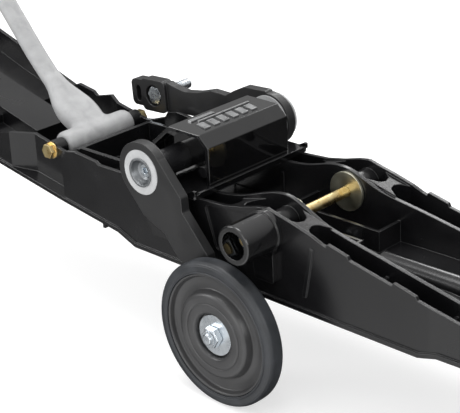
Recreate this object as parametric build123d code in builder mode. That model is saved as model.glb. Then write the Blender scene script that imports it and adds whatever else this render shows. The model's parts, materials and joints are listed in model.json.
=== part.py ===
from build123d import *
import os
from math import cos, radians, sin

# Snowmobile ski with a bolt-on retractable wheel kit.  Millimetres.
# Origin: centre of the ski leg bolt.  +X to the tail, +Y to the far side, +Z up.
os.makedirs("parts", exist_ok=True)

# ---- driving dimensions ----
WALL = 3.5                    # moulded wall thickness
WALL_Y = 70.0                 # outer face of the outer walls
LIP_Y = 72.0                  # outer edge of the sole
RECESS_Y = 57.0               # outer face of the stepped-in wall beside the loop bolt
TIP_X, TAIL_X = -650.0, 430.0
SOLE_T = 4.0
KEEL_HALF = 12.0
KEEL_Z = -77.0
RUNNER_R = 5.0
STUD_XS = (-172.0, 20.0, 232.0)
POST_TOP, STUD_TOP = -34.0, -25.0
FLOOR_T = 3.0

LOOP_BOLT = (-297.0, -3.0)    # x, z of the bolt through the loop's rear hub
LOOP_HUB_R = 13.5
LOOP_HUB_HALF = 43.0
LOOP_BAR = (22.0, 12.0)       # width across Y, thickness
FOOT_ANGLE = 22.1             # slope of the deck under the loop's front foot
FOOT_BOLT_Y = 17.5

BOSS_R = 17.8                 # stop boss round the ski leg bolt, near side only
BOSS_ROOT_Y, BOSS_END_Y = 70.0, 111.5
BOSS_FLOOR_Y = 88.0           # floor of the boss's recess, where the nut sits
BOSS_PLATE_T = 5.5
LEG_BOLT_R = 5.0
LEG_FACE_Y = 37.0             # inner faces that the ski leg's washers bear on

PLATE_Z, PLATE_T = 7.0, 4.0   # kit base plate
PLATE_X = (-162.0, -80.0)
HOUSING_HALF = 52.0
HOUSING_END_DEPTH = 12.0
HOUSING_T = 3.0

HUB = (-130.4, 26.4)          # x, z of the arm pivot
TUBE_R, TUBE_BORE = 12.5, 6.3
CUP_R, CUP_END = 12.0, 92.6
BUSH_BORE = 12.06
ARM_T = 9.0
BLOCK_IN = 73.0               # |Y| of the axle block's inner face
ARM_LENGTH = 158.0
NEAR_ANGLE = -48.5            # wheel down
FAR_ANGLE = 183.2             # folded forward

AXLE_R = 5.0
HEX_AF, HEX_H = 17.0, 6.5
WHEEL_R, RIM_R = 67.5, 57.0
WHEEL_Y = (-96.4, -114.9)     # inner and outer side of the tyre
RIM_FLOOR_Y = -110.0          # floor of the hub's outer recess

NEAR, FAR = -1, 1
NAMES = {NEAR: "near", FAR: "far"}
# |Y| of the tube's end and the arm plate's inner face on each side, and the radius of the arm's eye:
# the far arm sits a little further in on the pivot
TUBE_END = {NEAR: 78.5, FAR: 73.0}
ARM_IN = {NEAR: 82.0, FAR: 76.5}
EYE_R = {NEAR: 28.0, FAR: 26.0}
BUSH_R = {NEAR: 20.9, FAR: 16.0}


def save(piece, name):
    piece.part.label = name
    export_step(piece.part, f"parts/{name}.step")


def side_plane(y):
    """Plane facing -Y at this y; its local axes are X and Z."""
    return Plane.XZ.offset(-y)


def arm_plane(angle, y):
    """Plane facing +Y through the pivot; local X runs from the pivot to the axle."""
    a = radians(angle)
    return Plane(origin=(HUB[0], y, HUB[1]), x_dir=(cos(a), 0, sin(a)), z_dir=(0, 1, 0))


def pull(sketch, y0, y1, mode=Mode.ADD):
    """Extrude a sketch that stands at y0 along Y to y1, in the part being built."""
    extrude(sketch, amount=abs(y1 - y0), dir=(0, 1 if y1 > y0 else -1, 0), mode=mode)


def disc(x, z, radius, y0, y1, mode=Mode.ADD):
    """Cylinder along Y between two y values."""
    with BuildSketch(side_plane(y0)) as sk:
        with Locations((x, z)):
            Circle(radius)
    pull(sk.sketch, y0, y1, mode)


def hexagon(x, z, flats, y0, y1, mode=Mode.ADD):
    with BuildSketch(side_plane(y0)) as sk:
        with Locations((x, z)):
            RegularPolygon(flats / 2, 6, major_radius=False)
    pull(sk.sketch, y0, y1, mode)


def outline(points, y0, y1, mode=Mode.ADD, corner=0.0):
    """Plate with this X-Z outline between two y values."""
    with BuildSketch(side_plane(y0)) as sk:
        with BuildLine():
            Polyline(*points, close=True)
        make_face()
        if corner:
            fillet(sk.vertices(), corner)
    pull(sk.sketch, y0, y1, mode)


# ---- ski moulding ----
def half_plan(wall_y, recess_y):
    """Half outline seen from above, from the tip to the tail, on the +Y side."""
    front = [(TIP_X, 0), (-643, 22), (-622, 42), (-585, 59), (-530, wall_y - 2), (-470, wall_y), (-347,
        wall_y)]
    step = [(-323, recess_y), (-281, recess_y), (-268, wall_y)]
    back = [(170, wall_y), (300, wall_y - 4), (390, wall_y - 11), (420, wall_y - 22), (TAIL_X, 0)]
    return front + step + back


def plan_outline(wall_y, recess_y):
    half = half_plan(wall_y, recess_y)
    return half + [(x, -y) for x, y in reversed(half[1:-1])]


BOTTOM = [(-650, 84), (-620, 60), (-585, 40), (-540, 22), (-495, 6), (-450, -8), (-405, -20), (-362, -30),
          (-270, -45), (-191, -56), (-168, -65), (160, -65), (178, -60), (385, -60), (430, -50)]
TEETH = [(65, 89, 3.0), (133, 158, 3.0), (201, 226, 3.0), (269, 294, 3.0)]


def bottom_z(x):
    for (x0, z0), (x1, z1) in zip(BOTTOM, BOTTOM[1:]):
        if x0 <= x <= x1:
            return z0 + (z1 - z0) * (x - x0) / (x1 - x0)
    raise ValueError(x)


def wall_top():
    """Top edge of the outer walls from the tip to the tail, with its small lugs."""
    front = [(-650, 98), (-620, 84), (-575, 66), (-537, 50.5), (-527, 47), (-438, 17), (-406, 7), (-399,
        10),
             (-376, 6.5), (-370, 2), (-347, 8), (-323, 8), (-277, -1), (-266, 1), (-261, 8), (-254, 9)]
    middle = [(-248, 10.5), (-218, 8), (-214, 5.5), (-182, 6), (-175, 9.5), (-168, 9), (-165, 7), (-78, 7)]
    hump = [(-50, 9), (-30, 13), (-12, 18), (0, 20), (12, 17), (28, 13.5), (49, 8), (60, 3.8)]
    back = []
    for x0, x1, rise in TEETH:
        z0, z1 = 3.5 - 0.2 * (x0 - 60), 3.5 - 0.2 * (x1 - 60)
        back += [(x0, z0), (x0 + 1.5, z0 + rise), (x1 - 1.5, z1 + rise), (x1, z1)]
    return front + middle + hump + back + [(360, -50), (430, -44)]


def side_profile(top, bottom_points):
    return top + list(reversed(bottom_points))


# ---- runner under the keel ----
with BuildPart() as runner_bar:
    rod_z = KEEL_Z - RUNNER_R
    with BuildLine() as runner_path:
        FilletPolyline((-216, 0, rod_z + 16), (-188, 0, rod_z), (246, 0, rod_z), (274, 0, rod_z + 16),
            radius=30)
    with BuildSketch(Plane(origin=runner_path.line @ 0, z_dir=runner_path.line % 0)):
        Circle(RUNNER_R)
    sweep()
    for x in STUD_XS:
        with Locations((x, 0, (KEEL_Z - 4 + STUD_TOP) / 2)):
            Cylinder(4.0, STUD_TOP - KEEL_Z + 4)
save(runner_bar, "runner_bar")

# ---- ski body, built from its walls, sole and ribs ----
with BuildPart() as outer_walls:
    with BuildSketch(Plane.XY.offset(-90)) as sk:
        with BuildLine():
            Polyline(*plan_outline(WALL_Y, RECESS_Y), close=True)
        make_face()
        offset(amount=-WALL, kind=Kind.INTERSECTION, mode=Mode.SUBTRACT)
    extrude(amount=220)
    outline(side_profile(wall_top(), [(x, z + 1) for x, z in BOTTOM]), -90, 90, Mode.INTERSECT)

with BuildPart() as sole:
    with BuildSketch(Plane.XY.offset(-90)):
        with BuildLine():
            Polyline(*plan_outline(LIP_Y, LIP_Y), close=True)
        make_face()
    extrude(amount=220)
    outline(side_profile([(x, z + SOLE_T) for x, z in BOTTOM], BOTTOM), -90, 90, Mode.INTERSECT)

INNER_PLAN = [(-268, 47), (-180, 49), (-100, 49), (-45, 46), (0, 41), (45, 43.5), (110, 46), (230, 46),
    (392, 42)]
INNER_TOP = [(-268, 3), (-215, 4.5), (-165, 6), (-82, 6), (-52, 10), (-27, 18), (0, 21), (14, 16.5), (36,
    7.5),
             (59, 2.5), (113, -7), (200, -24), (300, -42), (392, -54)]


def inner_wall(side):
    """Band of wall thickness that follows the plan curve, cut to its side profile."""
    with BuildPart() as wall:
        with BuildSketch(Plane.XY.offset(-90)):
            with BuildLine():
                outer = Spline(*[(x, side * y) for x, y in INNER_PLAN])
                inner = Spline(*[(x, side * (y - 4)) for x, y in INNER_PLAN])
                Line(outer @ 0, inner @ 0)
                Line(outer @ 1, inner @ 1)
            make_face()
        extrude(amount=180)
        with BuildSketch(side_plane(90)):
            with BuildLine():
                crest = Spline(*INNER_TOP)
                Polyline(crest @ 1, (392, -60), (178, -60), (160, -64), (-160, -64), (-191, -54), (-268,
                    -43),
                         crest @ 0)
            make_face()
        extrude(amount=180, mode=Mode.INTERSECT)
    return wall.part


def rib(x, y0, y1, z0, z1, thick=3.0):
    """Upright rib across the ski between two y values."""
    with Locations((x, (y0 + y1) / 2, (z0 + z1) / 2)):
        Box(thick, abs(y1 - y0), z1 - z0)


def web(x, side):
    """Tie between an inner and an outer wall, waisted in plan where the two walls' edges flow together."""
    half = [(16, 43), (6.5, 48.5), (4, 55), (6.5, 61.5), (16, 68)]
    plan = [(x + dx, side * y) for dx, y in half] + [(x - dx, side * y) for dx, y in reversed(half)]
    with BuildPart() as tie:
        with BuildSketch(Plane.XY.offset(-63)):
            with BuildLine():
                Polyline(*plan, close=True)
            make_face()
        extrude(amount=90)
        crest = [(-70, 6), (-52, 7), (-30, 12), (-12, 16), (12, 15.5), (28, 11), (49, 6), (60, 2)]
        outline(crest + [(60, -64), (-70, -64)], -80, 80, Mode.INTERSECT)
    return tie.part


FLOOR = [(-268, -34), (150, -35), (300, -47), (392, -55)]
DECK = [(-362, -8.5), (-433, 8.5), (-540, 36), (-604, 62)]
DECK_HALF = 23.0
DECK_RIB_X = -420
POCKET_RIBS = [(-215, -6), (-150, -6), (-85, -6), (110, -19), (180, -32), (250, -46)]
CHANNEL_RIBS = [(-250, -12), (-205, -22), (-39, -12), (55, -15), (215, -34)]

inner_near, inner_far = inner_wall(NEAR), inner_wall(FAR)
webs = [web(x, side) for x in (-40, 33) for side in (NEAR, FAR)]

with BuildPart() as ski_body:
    add(outer_walls.part)
    add(sole.part)
    add(inner_near)
    add(inner_far)
    # closing wall at the front of the channel, and the channel's floor
    rib(-266.5, -49, 49, -44, 3, 4.0)
    outline(FLOOR + [(x, z - FLOOR_T) for x, z in reversed(FLOOR)], -44, 44)
    # webs that tie each inner wall to its outer wall
    for tie in webs:
        add(tie)
    for side in (NEAR, FAR):
        for x, top in POCKET_RIBS:
            rib(x, side * 44, side * 68, -60, top)
        for x, top in CHANNEL_RIBS:
            rib(x, side * 12, side * 44, -36, top)
        # long ribs beside the centre line
        with Locations((8, side * 12, -25.5)):
            Box(97, 3, 21)
        # tube between the walls for the ski leg bolt, and boss for the loop bolt
        disc(0, 0, 12, side * 39, side * 68)
        disc(*LOOP_BOLT, 9, side * (LOOP_HUB_HALF + 0.6), side * (RECESS_Y - 1))
        # upright flute on the outer wall
        outline([(48, -3), (52, -4), (43, -50), (39, -50)], side * 69, side * 71.4)
    # half round hump along the channel floor
    with BuildSketch(Plane.YZ.offset(70)):
        with Locations((0, -37)):
            Circle(12)
        with Locations((0, -57)):
            Rectangle(30, 40, mode=Mode.SUBTRACT)
    extrude(amount=128)
    # raised deck panel towards the tip, carried on two long walls and an end wall
    deck_low = [(x, z - 3) for x, z in reversed(DECK)]
    outline(DECK + deck_low, -DECK_HALF, DECK_HALF)
    for side in (NEAR, FAR):
        outline(DECK + [(-604, 52), (-540, 24), (-450, -6), (-362, -28)], side * (DECK_HALF - 3),
            side * DECK_HALF)
    rib(-363.5, -DECK_HALF, DECK_HALF, -28, -9)
    for side in (NEAR, FAR):
        rib(DECK_RIB_X, side * DECK_HALF, side * 67, bottom_z(DECK_RIB_X) + 1, bottom_z(DECK_RIB_X) + 13)
    # keel and the posts that carry the runner's studs
    outline([(-240, -48), (-208, -68), (-188, KEEL_Z), (250, KEEL_Z), (275, -66), (290, -58)],
            -KEEL_HALF, KEEL_HALF)
    for x in STUD_XS:
        with Locations((x, 0, POST_TOP - 14)):
            Cylinder(9, 28)
    add(runner_bar.part, mode=Mode.SUBTRACT)
    # bolt holes
    disc(0, 0, LEG_BOLT_R + 0.2, -75, 75, Mode.SUBTRACT)
    disc(*LOOP_BOLT, 4.2, -60, 60, Mode.SUBTRACT)
    # shallow pocket in the outer walls ahead of the stop boss
    for side in (NEAR, FAR):
        outline([(-74, 3), (-24, 9), (-21, -36), (-62, -36)], side * 80, side * 68.2, Mode.SUBTRACT, 3.0)
    # holes for the loop's front bolts
    foot_plane = Plane(origin=(-578, 0, 51.4), x_dir=(-cos(radians(FOOT_ANGLE)), 0,
        sin(radians(FOOT_ANGLE))),
                       z_dir=(sin(radians(FOOT_ANGLE)), 0, cos(radians(FOOT_ANGLE))))
    with BuildSketch(foot_plane.offset(-16)):
        with Locations((0, FOOT_BOLT_Y), (0, -FOOT_BOLT_Y)):
            Circle(3.2)
    extrude(amount=30, mode=Mode.SUBTRACT)
    with BuildSketch(foot_plane.offset(-3.6)):
        with Locations((0, FOOT_BOLT_Y), (0, -FOOT_BOLT_Y)):
            Circle(6.8)
    extrude(amount=-7, mode=Mode.SUBTRACT)
save(ski_body, "ski_body")

# ---- carbide strip and nuts of the runner ----
with BuildPart() as carbide_strip:
    with Locations((20, 0, KEEL_Z - 2 * RUNNER_R - 0.6)):
        Box(150, 4, 2.4)
    with BuildSketch(Plane.YZ.offset(-60)):
        with Locations((0, KEEL_Z - RUNNER_R)):
            Circle(RUNNER_R)
    extrude(amount=170, mode=Mode.SUBTRACT)
save(carbide_strip, "carbide_strip")

with BuildPart() as runner_nuts:
    with BuildSketch(Plane.XY.offset(POST_TOP)):
        with Locations(*[(x, 0) for x in STUD_XS]):
            RegularPolygon(6.5, 6, major_radius=False)
            Circle(4.05, mode=Mode.SUBTRACT)
    extrude(amount=6.5)
save(runner_nuts, "runner_nuts")

# ---- ski loop ----
LOOP_PATH = [(-352, 36), (-422, 111), (-478, 157), (-533, 168), (-580, 142), (-597, 100), (-582, 60)]

with BuildPart() as ski_loop:
    disc(*LOOP_BOLT, LOOP_HUB_R, -LOOP_HUB_HALF, LOOP_HUB_HALF)
    # fan that narrows from the hub to the bar
    fan = [((-299, -2), 33, 20), ((-312, 7), 42, 22), ((-327, 17), 44, 20), ((-342, 28), 34, 16),
           ((-359, 43), 23.4, 13.6)]
    for (x, z), width, thick in fan:
        with BuildSketch(Plane(origin=(x, 0, z), x_dir=(0, 1, 0), z_dir=(-0.7, 0, 0.71))):
            RectangleRounded(width, thick, thick * 0.42)
    loft()
    with BuildLine(Plane.XZ) as loop_path:
        Spline(*LOOP_PATH)
    with BuildSketch(Plane(origin=loop_path.line @ 0, x_dir=(0, 1, 0), z_dir=loop_path.line % 0)):
        RectangleRounded(LOOP_BAR[0], LOOP_BAR[1], 4.5)
    sweep(path=loop_path.line)
    # rounded tongue below the hub
    with BuildSketch(Plane(origin=(LOOP_BOLT[0], 0, LOOP_BOLT[1]), z_dir=(0.2, 0, -0.98))):
        Circle(12.5)
    extrude(amount=26)
    fillet(ski_loop.edges().sort_by(Axis.Z)[0], 11)
    # front foot on the deck
    with BuildSketch(foot_plane.offset(0.4)):
        RectangleRounded(44, 52, 8)
    extrude(amount=6)
    with BuildSketch(foot_plane.offset(-1)):
        with Locations((0, FOOT_BOLT_Y), (0, -FOOT_BOLT_Y)):
            Circle(3.2)
    extrude(amount=30, mode=Mode.SUBTRACT)
    disc(*LOOP_BOLT, 4.2, -50, 50, Mode.SUBTRACT)
save(ski_loop, "ski_loop")

with BuildPart() as loop_rear_bolt:
    disc(*LOOP_BOLT, 4.0, -RECESS_Y, 66)
    disc(*LOOP_BOLT, 8.5, -RECESS_Y, -RECESS_Y - 1.6)
    hexagon(*LOOP_BOLT, 13, -RECESS_Y - 1.6, -RECESS_Y - 7)
save(loop_rear_bolt, "loop_rear_bolt")

with BuildPart() as loop_rear_nut:
    hexagon(*LOOP_BOLT, 13, RECESS_Y, RECESS_Y + 7)
    disc(*LOOP_BOLT, 4.05, RECESS_Y - 1, RECESS_Y + 8, Mode.SUBTRACT)
save(loop_rear_nut, "loop_rear_nut")

with BuildPart() as loop_front_bolts:
    with BuildSketch(foot_plane.offset(-12)):
        with Locations((0, FOOT_BOLT_Y), (0, -FOOT_BOLT_Y)):
            Circle(3.0)
    extrude(amount=18.4)
    with BuildSketch(foot_plane.offset(6.4)):
        with Locations((0, FOOT_BOLT_Y), (0, -FOOT_BOLT_Y)):
            RegularPolygon(5, 6, major_radius=False)
    extrude(amount=4.2)
save(loop_front_bolts, "loop_front_bolts")

with BuildPart() as loop_front_nuts:
    with BuildSketch(foot_plane.offset(-9)):
        with Locations((0, FOOT_BOLT_Y), (0, -FOOT_BOLT_Y)):
            RegularPolygon(5, 6, major_radius=False)
            Circle(3.05, mode=Mode.SUBTRACT)
    extrude(amount=5)
save(loop_front_nuts, "loop_front_nuts")

# ---- ski leg bolt and its stop bosses ----
with BuildPart() as leg_bolt:
    disc(0, 0, LEG_BOLT_R, -98.5, BOSS_ROOT_Y + 1.8)
    disc(0, 0, 10.5, BOSS_ROOT_Y, BOSS_ROOT_Y + 1.8)
    hexagon(0, 0, 16, BOSS_ROOT_Y + 1.8, BOSS_ROOT_Y + 8.2)
save(leg_bolt, "leg_bolt")

with BuildPart() as leg_nut:
    hexagon(0, 0, 16, -BOSS_FLOOR_Y, -BOSS_FLOOR_Y - 5.8)
    disc(0, 0, 7.2, -BOSS_FLOOR_Y - 5.8, -BOSS_FLOOR_Y - 8.6)
    disc(0, 0, LEG_BOLT_R + 0.05, -80, -106, Mode.SUBTRACT)
save(leg_nut, "leg_nut")

for side, name in NAMES.items():
    with BuildPart() as leg_washer:
        disc(0, 0, 18.4, side * (LEG_FACE_Y - 0.2), side * (LEG_FACE_Y - 2.7))
        disc(0, 0, LEG_BOLT_R + 0.2, -40, 40, Mode.SUBTRACT)
    save(leg_washer, f"leg_washer_{name}")

with BuildPart() as stop_boss:
    plate = [(-18, 5), (-12, 13.5), (12, 13.5), (18, 4), (17.2, -6), (10.5, -19), (10.5, -46), (-11, -46),
        (-14, -12)]
    outline(plate, -BOSS_ROOT_Y, -BOSS_ROOT_Y - BOSS_PLATE_T, corner=2.5)
    disc(0, 0, 19.2, -BOSS_ROOT_Y, -BOSS_ROOT_Y - BOSS_PLATE_T)
    disc(0, 0, BOSS_R, -BOSS_ROOT_Y, -BOSS_END_Y)
    fillet(stop_boss.faces().sort_by(Axis.Y)[0].edges(), 1.6)
    disc(0, 0, 12.6, -BOSS_FLOOR_Y, -BOSS_END_Y - 1, Mode.SUBTRACT)
    disc(0, 0, LEG_BOLT_R + 0.2, -60, -100, Mode.SUBTRACT)
save(stop_boss, "stop_boss")

# ---- kit base plate, side brackets and clamp ----
HOUSING = [(-84, 11), (-84, 47.5), (-95, 57.5), (-133.5, 57.5), (-156, 38), (-156, 11)]
PLATE_BOLTS = [(-143.5, 8), (-143.5, -8)]

with BuildPart() as base_plate:
    with BuildSketch(Plane.XY.offset(PLATE_Z)) as sk:
        with Locations((sum(PLATE_X) / 2, 0)):
            RectangleRounded(PLATE_X[1] - PLATE_X[0], 150, 4)
        with Locations(*PLATE_BOLTS):
            Circle(4.2, mode=Mode.SUBTRACT)
    extrude(amount=PLATE_T)
    # small upturned corners at the rear edge
    for side in (NEAR, FAR):
        outline([(-80, 10), (-80, 15), (-83, 15), (-92, 10)], side * 75, side * 72.5)
    # lip along the rear edge
    with Locations((PLATE_X[1] - 1.25, 0, PLATE_Z + PLATE_T)):
        Box(2.5, 138, 2.4)
save(base_plate, "base_plate")

for side, name in NAMES.items():
    with BuildPart() as side_bracket:
        outline([(-150, 7), (-150, -20), (-139, -42), (-101, -42), (-92, -30), (-92, 7)],
                side * 70.2, side * 74.8, corner=2.0)
        outline([(-141, -14), (-138.5, -14), (-131, -26), (-133.5, -26)], side * 66, side * 80,
            Mode.SUBTRACT)
    save(side_bracket, f"side_bracket_{name}")

with BuildPart() as clamp_bar:
    with Locations((PLATE_BOLTS[0][0], 0, -22)):
        Box(22, 84, 6)
    with Locations(*[(x, y, -22) for x, y in PLATE_BOLTS]):
        Cylinder(4.2, 8, mode=Mode.SUBTRACT)
    fillet(clamp_bar.edges().filter_by(Axis.Z).sort_by(Axis.X)[:2], 3)
save(clamp_bar, "clamp_bar")

with BuildPart() as plate_bolts:
    for x, y in PLATE_BOLTS:
        with Locations((x, y, -10)):
            Cylinder(4.0, 42)
        with BuildSketch(Plane.XY.offset(PLATE_Z + PLATE_T)):
            with Locations((x, y)):
                RegularPolygon(6.5, 6, major_radius=False)
        extrude(amount=3)
save(plate_bolts, "plate_bolts")

with BuildPart() as plate_nuts:
    with BuildSketch(Plane.XY.offset(-25)):
        with Locations(*PLATE_BOLTS):
            RegularPolygon(6.5, 6, major_radius=False)
            Circle(4.05, mode=Mode.SUBTRACT)
    extrude(amount=-6)
save(plate_nuts, "plate_nuts")

# ---- pivot housing ----
CROSS_BOLT = (-101.0, 18.0)

with BuildPart() as housing_cover:
    outline(HOUSING, -HOUSING_HALF, HOUSING_HALF)
    long_edges = housing_cover.edges().filter_by(Axis.Y).group_by(Axis.Z)[1:]
    fillet([edge for group in long_edges for edge in group], 1.4)
    fillet(housing_cover.faces().sort_by(Axis.Y)[0].edges().filter_by(lambda e: e.center().Z > 12), 0.9)
    fillet(housing_cover.faces().sort_by(Axis.Y)[-1].edges().filter_by(lambda e: e.center().Z > 12), 0.9)
    # inside, open below
    inside = [(-87, 10), (-87, 46.2), (-96, 54.5), (-132.3, 54.5), (-153, 36.7), (-153, 10)]
    panel = HOUSING_HALF - HOUSING_END_DEPTH
    outline(inside, -panel + HOUSING_T, panel - HOUSING_T, Mode.SUBTRACT)
    # sunk end panels
    end_in = [(-87.5, 10), (-87.5, 45.8), (-96.2, 54), (-132, 54), (-152.5, 36.4), (-152.5, 10)]
    outline(end_in, -HOUSING_HALF - 1, -panel, Mode.SUBTRACT)
    outline(end_in, panel, HOUSING_HALF + 1, Mode.SUBTRACT)
    disc(*HUB, TUBE_R + 0.1, -60, 60, Mode.SUBTRACT)
    disc(*CROSS_BOLT, 3.2, -60, 60, Mode.SUBTRACT)
save(housing_cover, "housing_cover")

# generic raised marks on the housing's top: slanted bars and a long thin line
with BuildPart() as housing_emblem:
    with BuildSketch(Plane.XY.offset(57.5)):
        for i in range(6):
            y = -38 + 12.2 * i
            with BuildLine():
                Polyline((-101, y), (-101, y + 7.6), (-114.5, y + 10.6), (-114.5, y + 3.0), close=True)
            make_face()
        with Locations((-119.2, 5)):
            Rectangle(2.2, 66)
        with Locations((-125.5, -18)):
            Rectangle(4.4, 30)
    extrude(amount=1.2)
save(housing_emblem, "housing_emblem")

with BuildPart() as tube_saddles:
    for side in (NEAR, FAR):
        outline([(-152, 11.2), (-152, 27), (-144, 40), (-117, 40), (-109, 27), (-109, 11.2)], side * 33,
            side * 15)
    disc(*HUB, TUBE_R + 0.05, -40, 40, Mode.SUBTRACT)
save(tube_saddles, "tube_saddles")

with BuildPart() as cross_bolt:
    disc(*CROSS_BOLT, 3.0, -41, 48)
    hexagon(*CROSS_BOLT, 10, -40, -43.5)
save(cross_bolt, "cross_bolt")

with BuildPart() as cross_nut:
    hexagon(*CROSS_BOLT, 10, 40, 45)
    disc(*CROSS_BOLT, 3.05, 39, 46, Mode.SUBTRACT)
save(cross_nut, "cross_nut")

# ---- pivot ----
with BuildPart() as pivot_tube:
    disc(*HUB, TUBE_R, -TUBE_END[NEAR], TUBE_END[FAR])
    disc(*HUB, TUBE_BORE, -90, 90, Mode.SUBTRACT)
save(pivot_tube, "pivot_tube")

with BuildPart() as pivot_bolt:
    disc(*HUB, 6.0, -86, 86)
    hexagon(*HUB, 6, -87, -82, Mode.SUBTRACT)
save(pivot_bolt, "pivot_bolt")


def cup_profile(side):
    """Half section of the dished end cup, as (radius, y) points: it screws on the pivot bolt."""
    end = CUP_END
    points = [(6.05, TUBE_END[side]), (CUP_R, TUBE_END[side]), (CUP_R, end - 0.7), (13.6, end - 0.7),
        (13.6, end),
              (11.6, end), (10.4, end - 3), (8.6, end - 6), (6.05, end - 8)]
    return [(r, side * y) for r, y in points]


for side, name in NAMES.items():
    with BuildPart() as hub_cup:
        with BuildSketch(Plane.XY.offset(HUB[1])):
            with BuildLine():
                Polyline(*[(HUB[0] + r, y) for r, y in cup_profile(side)], close=True)
            make_face()
        revolve(axis=Axis((HUB[0], 0, HUB[1]), (0, 1, 0)))
    save(hub_cup, f"hub_cup_{name}")

    with BuildPart() as spring_washer:
        face = TUBE_END[side]
        disc(*HUB, 15.2, side * (face + 0.1), side * (face + 1.7))
        disc(*HUB, CUP_R + 0.1, side * (face - 1), side * (face + 2), Mode.SUBTRACT)
    save(spring_washer, f"spring_washer_{name}")

# ---- arms ----
FRONT_EDGE = [(0, 28), (30, 28), (44, 22), (56, 15.5), (76, 17), (96, 12), (114, 10), (130, 13), (144, 17)]
HEAD_SEAT = BLOCK_IN + 8
BUSH_FLANGE_Y = (89.6, 91.6)
REAR_EDGE = [(141, -17), (132, -14), (104, -14), (96, -20), (52, -20), (42, -28), (0, -28)]


def swing_arm(angle, side):
    """Flat arm with a round eye at the pivot and a deep axle block at its end."""
    inner = ARM_IN[side]
    outer = inner + ARM_T
    with BuildPart() as arm:
        with BuildSketch(arm_plane(angle, side * inner)) as sk:
            with BuildLine():
                Polyline(*FRONT_EDGE, *REAR_EDGE, close=True)
            make_face()
            fillet(sk.vertices(), 3.5)
            Circle(EYE_R[side])
        extrude(amount=side * ARM_T)
        with BuildSketch(arm_plane(angle, side * BLOCK_IN)):
            with Locations((ARM_LENGTH, 0)):
                RectangleRounded(35, 34, 6)
            with Locations((ARM_LENGTH + 21, 1)):
                RectangleRounded(22, 28, 6)
        extrude(amount=side * (outer - BLOCK_IN))
        with BuildSketch(arm_plane(angle, side * (BLOCK_IN - 1))):
            with Locations((ARM_LENGTH + 22, 0)):
                SlotCenterToCenter(10, 7, rotation=90)
        extrude(amount=side * 9, mode=Mode.SUBTRACT)
        with BuildSketch(arm_plane(angle, side * (BLOCK_IN - 1))):
            with Locations((ARM_LENGTH, 0)):
                Circle(11.2)
        extrude(amount=side * (HEAD_SEAT - BLOCK_IN + 1), mode=Mode.SUBTRACT)
        with BuildSketch(arm_plane(angle, side * (BLOCK_IN - 1))):
            with Locations((ARM_LENGTH, 0)):
                Circle(AXLE_R + 0.1)
        extrude(amount=side * 30, mode=Mode.SUBTRACT)
        if side == FAR:
            disc(*HUB, 22, outer - 1, BUSH_FLANGE_Y[0])
        disc(*HUB, BUSH_R[side], side * 60, side * 100, Mode.SUBTRACT)
    return arm


with BuildPart() as near_bush:
    disc(*HUB, BUSH_R[NEAR], -80.9, -91.6)
    disc(*HUB, 24, -80.9, -82)
    disc(*HUB, BUSH_BORE, -70, -100, Mode.SUBTRACT)
save(near_bush, "near_bush")

with BuildPart() as far_bush:
    disc(*HUB, BUSH_R[FAR], 75.4, BUSH_FLANGE_Y[1])
    disc(*HUB, 24, 75.4, ARM_IN[FAR])
    disc(*HUB, 22.8, *BUSH_FLANGE_Y)
    disc(*HUB, BUSH_BORE, 70, 100, Mode.SUBTRACT)
save(far_bush, "far_bush")


def axle_point(angle):
    a = radians(angle)
    return HUB[0] + ARM_LENGTH * cos(a), HUB[1] + ARM_LENGTH * sin(a)


AXLE = axle_point(NEAR_ANGLE)
FAR_AXLE = axle_point(FAR_ANGLE)
save(swing_arm(NEAR_ANGLE, NEAR), "near_arm")
save(swing_arm(FAR_ANGLE, FAR), "far_arm")

with BuildPart() as axle_bolt:
    disc(*AXLE, AXLE_R, -HEAD_SEAT, -123.5)
    hexagon(*AXLE, HEX_AF, -HEAD_SEAT, -HEAD_SEAT + HEX_H)
    fillet(axle_bolt.faces().sort_by(Axis.Y)[0].edges(), 1.0)
save(axle_bolt, "axle_bolt")

STUB_Y = ARM_IN[FAR] + ARM_T + 5

with BuildPart() as far_axle_bolt:
    disc(*FAR_AXLE, AXLE_R, HEAD_SEAT, 123.5)
    hexagon(*FAR_AXLE, HEX_AF, HEAD_SEAT, HEAD_SEAT - HEX_H)
    # relief groove beside the nut, where the free stub starts
    disc(*FAR_AXLE, 8, STUB_Y, STUB_Y + 1, Mode.SUBTRACT)
    disc(*FAR_AXLE, 4.3, STUB_Y - 1, STUB_Y + 2)
save(far_axle_bolt, "far_axle_bolt")

with BuildPart() as far_axle_nut:
    hexagon(*FAR_AXLE, HEX_AF, ARM_IN[FAR] + ARM_T, ARM_IN[FAR] + ARM_T + 5)
    disc(*FAR_AXLE, AXLE_R + 0.02, 80, 100, Mode.SUBTRACT)
save(far_axle_nut, "far_axle_nut")

# ---- wheel ----
RACE_OUT_R, RACE_IN_R = 13.0, 7.2
BALL_R, BALL_COUNT = 1.75, 9
BEARINGS = ((-98.6, -103.4), (-105.6, -110.2))   # outer race faces, inner then outer bearing
INNER_RACES = ((-98.0, -103.5), (-105.5, -110.8))


def ring_section(points):
    """Revolve a closed (radius, y) outline about the wheel's axle."""
    with BuildSketch(Plane.XY.offset(AXLE[1])) as sk:
        with BuildLine():
            Polyline(*[(AXLE[0] + r, y) for r, y in points], close=True)
        make_face()
    revolve(sk.sketch, axis=Axis((AXLE[0], 0, AXLE[1]), (0, 1, 0)))


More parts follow.
